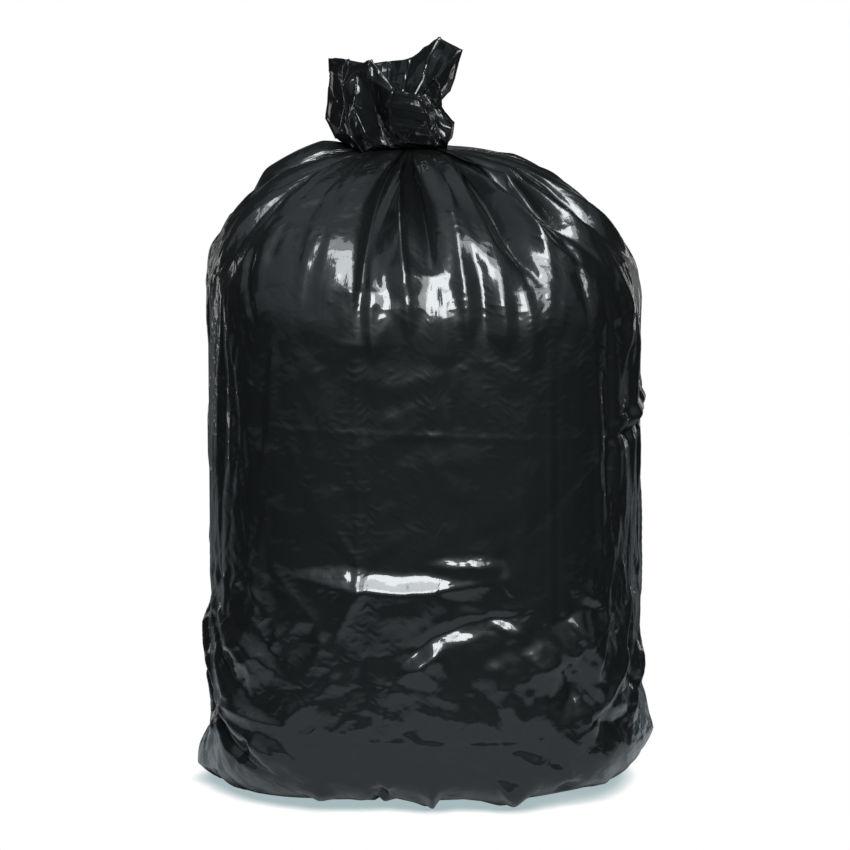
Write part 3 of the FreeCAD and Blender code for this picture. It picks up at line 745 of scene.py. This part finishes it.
def draw_body(rng):
    """The film as drawn, from the foot to the tie, with its unfolded normals, azimuths and heights."""
    lines, wall_run = film_lines(BODY_COLUMNS)
    skin, along = smooth_skin(lines, BODY_ROWS)
    azimuth = np.broadcast_to(lines, along.shape)
    wall_run = np.broadcast_to(wall_run, along.shape)
    degrees = np.degrees(azimuth)
    normal = normals_of(skin)
    moved = np.zeros(along.shape)
    for folds, strewn in ((SHOULDER_FOLDS + CREASES, SHOULDER_STREWN), (WALL_FOLDS, WALL_STREWN)):
        moved += softened(fold_height(folds, strewn, azimuth, wall_run, along, rng))
    for middle, height, reach, half_angle, half_height in EARS:
        turn = np.abs(turned(degrees, middle))
        rise = np.abs(skin[..., 2] - height)
        moved += reach * np.maximum(0.0, 1.0 - turn / half_angle) * np.maximum(0.0, 1.0 - rise / half_height)
    moved *= smooth_step(0.0, FOLD_FADE, along[-1] - along)
    home = add_gathers(skin, azimuth) + normal * moved[..., None]
    front = np.clip(np.cos(azimuth), 0.0, 1.0) ** 2
    home[..., 1] += FRONT_FOOT_LEAN * smooth_step(0.105, 0.03, along) * front
    lift = np.interp(degrees, *np.transpose(FOOT_LIFTS)) * 0.001
    lift = lift * np.clip(1.0 - skin[..., 2] / FOOT_LIFT_HEIGHT, 0.0, 1.0)
    home[..., 2] = np.maximum(home[..., 2] + lift, FLOOR_GAP)
    return home, normal, degrees, along


def make_body_film():
    """The film from the foot to the tie, with its slack in wrinkles."""
    rng = np.random.default_rng(BODY_SEED)
    home, normal, degrees, along = draw_body(rng)
    to_tie = along[-1] - along
    side = np.exp(-(((np.abs(degrees) - 78.0) / 28.0) ** 2))
    back = smooth_step(120.0, 160.0, np.abs(degrees))
    low = smooth_step(0.30, 0.10, along)
    patchy = np.clip(0.6 + 0.8 * soft_noise(along.shape, PATCHES, rng), 0.0, 2.0)
    slack_across = SLACK_ACROSS + SIDE_SLACK_ACROSS * side * patchy + BACK_SLACK_ACROSS * back * patchy
    slack_across = slack_across * smooth_step(0.0, 0.04, to_tie)
    slack_along = SLACK_ALONG + LOW_SLACK_ALONG * low * (0.2 + 0.8 * side) * patchy
    rest_across = np.linalg.norm(np.roll(home, -1, 1) - home, axis=2) * (1.0 + slack_across)
    rest_along = np.linalg.norm(np.diff(home, axis=0), axis=2) * (1.0 + slack_along[:-1])
    tall = soft_noise(along.shape, TALL_WRINKLES, rng) + 0.6 * soft_noise(along.shape, FINE_WRINKLES, rng)
    blotch = soft_noise(along.shape, BLOTCHES, rng)
    swell = soft_noise(along.shape, SWELLS, rng)
    rough = tall * (0.0001 + 0.0010 * side * patchy) + blotch * (0.00016 + 0.0002 * low) + swell * 0.0007
    rough *= smooth_step(0.0, 0.03, along) * smooth_step(0.0, 0.05, to_tie)
    film = home + normal * rough[..., None]
    reach = (0.0012 + 0.003 * side, 0.0020 + 0.004 * side)
    return settle(film, home, rest_across, rest_along, BODY_STEPS, reach, BODY_WEIGHT, BODY_BEND)


# The tuft: the bag's mouth above the tie. Lines of film run from the tie to the rim, each with five points as
# the camera sees them: across from the middle of the bag, up the picture, and depth towards the back, in
# millimetres. They go round from the left by the front.
TUFT_LINES = [
    [(-88, 636, -6), (-97, 655, 0), (-95, 680, 0), (-96, 697, 2), (-94, 714, 0)],
    [(-73, 627, -22), (-83, 645, -25), (-79, 665, -29), (-81, 694, -23), (-75, 711, -20)],
    [(-60, 622, -38), (-72, 637, -46), (-74, 655, -34), (-80, 688, -36), (-75, 705, -28)],
    [(-50, 630, -46), (-58, 642, -56), (-70, 668, -50), (-66, 698, -40), (-56, 711, -46)],
    [(-34, 629, -44), (-42, 645, -36), (-46, 660, -32), (-51, 692, -50), (-52, 712, -48)],
    [(-20, 632, -46), (-33, 650, -57), (-36, 668, -63), (-31, 681, -64), (-29, 684, -60)],
    [(11, 629, -42), (8, 643, -52), (3, 660, -57), (-3, 674, -58), (-4, 677, -55)],
    [(15, 636, -33), (10, 651, -24), (9, 663, -17), (4, 672, -16), (0, 677, -15)],
    [(23, 630, -28), (27, 646, -30), (13, 665, -18), (17, 680, -26), (11, 693, -20)],
    [(26, 637, -6), (29, 651, 0), (13, 667, 2), (25, 682, 6), (37, 722, 6)],
    [(21, 639, 18), (22, 655, 22), (13, 671, 22), (21, 695, 20), (15, 734, 26)],
    [(7, 637, 36), (3, 657, 38), (0, 675, 34), (-5, 695, 40), (-14, 713, 38)],
    [(-17, 635, 46), (-23, 657, 40), (-25, 677, 50), (-27, 695, 44), (-36, 711, 50)],
    [(-41, 635, 44), (-47, 657, 52), (-51, 679, 42), (-55, 695, 50), (-59, 708, 44)],
    [(-65, 635, 36), (-73, 655, 34), (-75, 677, 42), (-75, 695, 34), (-79, 712, 38)],
    [(-81, 636, 16), (-91, 655, 20), (-87, 679, 14), (-91, 695, 20), (-89, 712, 14)],
]


# Points of the tuft are raised by this share of their depth, so that it leans to the front.
TUFT_LEAN = 0.09
TUFT_ROWS, TUFT_COLUMNS = 118, 640
TUFT_STEPS = 30
TUFT_BEND = 0.02
TUFT_REACH = 0.002
# The film's slack round the tuft and along it.
TUFT_SLACK = (0.03, 0.02)
# The film inside the mouth, from the rim down: how far in to the middle, and how deep.
MOUTH_RINGS = [(0.06, 0.0), (0.22, 0.012), (0.34, 0.030), (0.62, 0.046)]
# Unevenness of the tuft: cells along and round it, and height.
TUFT_NOISES = [(12, 26, 0.0010), (22, 52, 0.0006)]
# The sharp edge on each line of the tuft: height, and width as a share of the gap between two lines.
TUFT_EDGE = (0.0009, 0.05)


def draw_tuft():
    """Rings of points from the tie up the tuft, over its rim and down inside the mouth."""
    count = len(TUFT_LINES)
    seen = np.array(TUFT_LINES, dtype=float).transpose(1, 0, 2) * 0.001
    seen[..., 1] += TUFT_LEAN * seen[..., 2]
    height = (seen[..., 1] - seen[..., 2] * math.sin(CAMERA_ELEVATION)) / math.cos(CAMERA_ELEVATION)
    lines = np.stack([seen[..., 0], seen[..., 2], height], axis=-1)
    around = np.radians(-90.0 + 360.0 * np.arange(count) / count)
    tie = np.stack(
        [
            NECK_X + NECK_HALF_WIDTH * np.sin(around),
            -NECK_HALF_DEPTH * np.cos(around),
            np.full(count, NECK_HEIGHT - 0.002),
        ],
        axis=-1,
    )
    rim = lines[-1]
    middle = rim.mean(axis=0)
    inside = []
    for share, drop in MOUTH_RINGS:
        ring = rim + (middle - rim) * share
        ring[:, 2] = rim[:, 2] * (1.0 - share) + (middle[2] - 0.01) * share - drop
        inside.append(ring)
    return np.concatenate([tie[None], lines, np.array(inside)])


def make_tuft_film():
    rng = np.random.default_rng(TUFT_SEED)
    film = refined(draw_tuft(), TUFT_ROWS, TUFT_COLUMNS)
    level = np.linspace(0.0, 1.0, TUFT_ROWS)[:, None]
    for along, around, lift in TUFT_NOISES:
        noise = refined(rng.standard_normal((along, around, 1)), TUFT_ROWS, TUFT_COLUMNS)[..., 0]
        film = film + normals_of(film) * (noise * lift * smooth_step(0.0, 0.08, level))[..., None]
    phase = (np.arange(TUFT_COLUMNS) * len(TUFT_LINES) / TUFT_COLUMNS + 0.5) % 1.0 - 0.5
    edge_height, edge_width = TUFT_EDGE
    edge = np.exp(-((phase / edge_width) ** 2)) * smooth_step(0.0, 0.1, level)
    film = film + normals_of(film) * (edge_height * edge)[..., None]
    rest_across = np.linalg.norm(np.roll(film, -1, 1) - film, axis=2) * (1.0 + TUFT_SLACK[0])
    rest_along = np.linalg.norm(np.diff(film, axis=0), axis=2) * (1.0 + TUFT_SLACK[1])
    reach = (TUFT_REACH, TUFT_REACH)
    return settle(film, film, rest_across, rest_along, TUFT_STEPS, reach, 0.0, TUFT_BEND, free_rim=True)


def grid_piece(name, grid, crinkled, first=0, last=None, cap=None):
    """A mesh from a grid that closes round its columns, or from its columns first to last.

    UVs are in metres of film. A cap is a point that the first row closes on.
    """
    rows, columns = grid.shape[:2]
    closed = last is None
    across = np.linalg.norm(np.roll(grid, -1, 1) - grid, axis=2)
    along = np.concatenate([np.zeros((1, columns)), np.linalg.norm(np.diff(grid, axis=0), axis=2)])
    picked = np.arange(first, (columns if closed else last) + 1)
    flat = np.empty((rows, len(picked), 2))
    flat[..., 0] = picked * across.mean(axis=1).max()
    flat[..., 1] = np.cumsum(along, axis=0)[:, picked % columns]
    uv_left, uv_right = flat[:, :-1], flat[:, 1:]
    loops = np.stack([uv_left[:-1], uv_right[:-1], uv_right[1:], uv_left[1:]], axis=2).reshape(-1, 2)
    picked = (picked[:-1] if closed else picked) % columns
    points = grid[:, picked].reshape(-1, 3)
    turned_out = normals_of(grid)[:, picked].reshape(-1, 3)
    shares = crinkled[:, picked].ravel()
    index = np.arange(len(points)).reshape(rows, len(picked))
    left = index if closed else index[:, :-1]
    right = np.roll(index, -1, axis=1) if closed else index[:, 1:]
    faces = np.stack([left[:-1], right[:-1], right[1:], left[1:]], axis=-1).reshape(-1, 4).tolist()
    if cap is not None:
        faces += [[int(a), int(b), len(points)] for a, b in zip(right[0], left[0])]
        points = np.vstack([points, cap])
        turned_out = np.vstack([turned_out, (0.0, 0.0, -1.0)])
        shares = np.append(shares, 0.0)
        loops = np.vstack([loops, np.zeros((3 * left.shape[1], 2))])
    mesh = bpy.data.meshes.new(name)
    mesh.from_pydata(points.tolist(), [], faces)
    mesh.uv_layers.new(name="film").uv.foreach_set("vector", loops.astype(np.float32).ravel())
    mesh.attributes.new("crinkled", "FLOAT", "POINT").data.foreach_set("value", shares.astype(np.float32))
    mesh.shade_smooth()
    mesh.normals_split_custom_set_from_vertices(turned_out.tolist())
    piece = bpy.data.objects.new(name, mesh)
    bpy.context.scene.collection.objects.link(piece)
    return piece


# Materials

FILM_COLOUR = (0.005, 0.0056, 0.006, 1.0)
HAZE_ROUGHNESS = 0.36
GLOSS_WEIGHT = 0.8
GLOSS_ROUGHNESS = (0.035, 0.13)
# Flat facets in crumpled film: their turn in radians, how many for each metre and their height, and how much
# longer than wide they are.
FACETS = [(-0.9, 20.0, 0.0042), (0.8, 32.0, 0.0024), (1.5, 80.0, 0.0005)]
FACET_LENGTH = 2.8
# How much of the crinkles and facets the tuft shows.
TUFT_CRUMPLING = 0.6


def film_noise(tree, flat, scale, detail, kind="FBM", lift=0.0):
    """A noise over the flat film, with its scale per metre across and along."""
    stretch = tree.nodes.new("ShaderNodeMapping")
    stretch.inputs["Scale"].default_value = (scale[0], scale[1], 1.0)
    stretch.inputs["Location"].default_value = (lift, lift, lift)
    noise = tree.nodes.new("ShaderNodeTexNoise")
    noise.noise_type = kind
    noise.inputs["Scale"].default_value = 1.0
    noise.inputs["Detail"].default_value = detail
    tree.links.new(flat, stretch.inputs["Vector"])
    tree.links.new(stretch.outputs[0], noise.inputs["Vector"])
    return noise.outputs["Fac"]


def film_facets(tree, flat, turn, scale):
    """Flat facets with sharp ridges between them, over the flat film."""
    spread = tree.nodes.new("ShaderNodeMapping")
    spread.vector_type = "TEXTURE"
    spread.inputs["Scale"].default_value = (1.0, FACET_LENGTH, 1.0)
    spread.inputs["Rotation"].default_value = (0.0, 0.0, turn)
    warp = tree.nodes.new("ShaderNodeTexNoise")
    warp.inputs["Scale"].default_value = scale * 0.35
    shifted = joined(tree, "SCALE", warp.outputs["Color"], (0.0, 0.0, 0.0))
    shifted.node.inputs["Scale"].default_value = 1.6 / scale
    tree.links.new(flat, warp.inputs["Vector"])
    tree.links.new(joined(tree, "ADD", flat, shifted), spread.inputs["Vector"])
    cells = tree.nodes.new("ShaderNodeTexVoronoi")
    cells.distance = "CHEBYCHEV"
    cells.inputs["Scale"].default_value = scale
    tree.links.new(spread.outputs[0], cells.inputs["Vector"])
    return cells.outputs["Distance"]


def bumped(tree, height, distance, before=None, mask=None):
    bump = tree.nodes.new("ShaderNodeBump")
    bump.inputs["Strength"].default_value = 1.0
    bump.inputs["Distance"].default_value = distance
    tree.links.new(height, bump.inputs["Height"])
    if mask is not None:
        tree.links.new(mask, bump.inputs["Strength"])
    if before is not None:
        tree.links.new(before, bump.inputs["Normal"])
    return bump.outputs["Normal"]


def film_material(name, crinkled, haze_level):
    """Glossy black film: a hazy body under a sharp gloss, with crinkles, facets and duller patches."""
    material = bpy.data.materials.new(name)
    material.use_nodes = True
    tree = material.node_tree
    shader = tree.nodes["Principled BSDF"]
    shader.inputs["Base Color"].default_value = FILM_COLOUR
    shader.inputs["Roughness"].default_value = HAZE_ROUGHNESS
    shader.inputs["Specular IOR Level"].default_value = haze_level
    shader.inputs["Coat Weight"].default_value = GLOSS_WEIGHT
    flat = tree.nodes.new("ShaderNodeTexCoord").outputs["UV"]
    stretch_lines = film_noise(tree, flat, (260.0, 16.0), 4.0)
    crinkle = film_noise(tree, flat, (46.0, 26.0), 6.0, kind="RIDGED_MULTIFRACTAL", lift=3.0)
    cross_crinkle = film_noise(tree, flat, (90.0, 120.0), 4.0, kind="RIDGED_MULTIFRACTAL", lift=7.0)
    where = film_noise(tree, flat, (9.0, 5.0), 2.0, lift=11.0)
    haze = film_noise(tree, flat, (24.0, 12.0), 5.0, lift=17.0)
    normal = bumped(tree, stretch_lines, 0.00014)
    normal = bumped(tree, crinkle, 0.0016 * crinkled, normal, mask=ranged(tree, where, 0.42, 0.62, 0.35, 1.0))
    elsewhere = ranged(tree, where, 0.45, 0.6, 0.9, 0.3)
    normal = bumped(tree, cross_crinkle, 0.0006 * crinkled, normal, mask=elsewhere)
    mask = tree.nodes.new("ShaderNodeAttribute")
    mask.attribute_name = "crinkled"
    for turn, scale, distance in FACETS:
        facets = film_facets(tree, flat, turn, scale)
        normal = bumped(tree, facets, distance, normal, mask=mask.outputs["Fac"])
    tree.links.new(normal, shader.inputs["Normal"])
    tree.links.new(normal, shader.inputs["Coat Normal"])
    tree.links.new(ranged(tree, haze, 0.35, 0.7, *GLOSS_ROUGHNESS), shader.inputs["Coat Roughness"])
    return material


def crumpling(film):
    """How much of the crinkles and facets each point shows: most of them in the sides and low down."""
    low_down = smooth_step(0.24, 0.10, film[..., 2])
    sideways = smooth_step(0.10, 0.19, np.abs(film[..., 0]))
    return np.clip(0.15 + 0.3 * low_down + 0.7 * sideways, 0.0, 1.0)


def finish_piece(piece, material):
    piece.data.materials.append(material)
    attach(piece, "root")
    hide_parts("bin_bag")


make_camera()
make_world()
make_floor()
make_lights()
film_look = film_material("black_film", 1.0, 0.15)
# The tuft's copy of the same film has fewer crinkles, and less haze gloss as painted shade that makes the
# bunched film darker.
shaded_bunched_look = film_material("black_film_bunched_shaded", 0.15, 0.02)

# The two halves of the bag meet on the lines of film in the middle of its sides.
body_film = make_body_film()
crumpled = crumpling(body_film)
quarter = BODY_COLUMNS // 4
foot_middle = (0.0, 0.0, FLOOR_GAP)
bag_front = grid_piece("bag_front", body_film, crumpled, quarter, 3 * quarter, foot_middle)
bag_back = grid_piece("bag_back", body_film, crumpled, 3 * quarter, 5 * quarter, foot_middle)
for half in (bag_front, bag_back):
    finish_piece(half, film_look)
tuft_film = make_tuft_film()
tuft_crumpled = np.full(tuft_film.shape[:2], TUFT_CRUMPLING)
finish_piece(grid_piece("tuft_film", tuft_film, tuft_crumpled), shaded_bunched_look)

bpy.context.scene.view_settings.view_transform = "Standard"
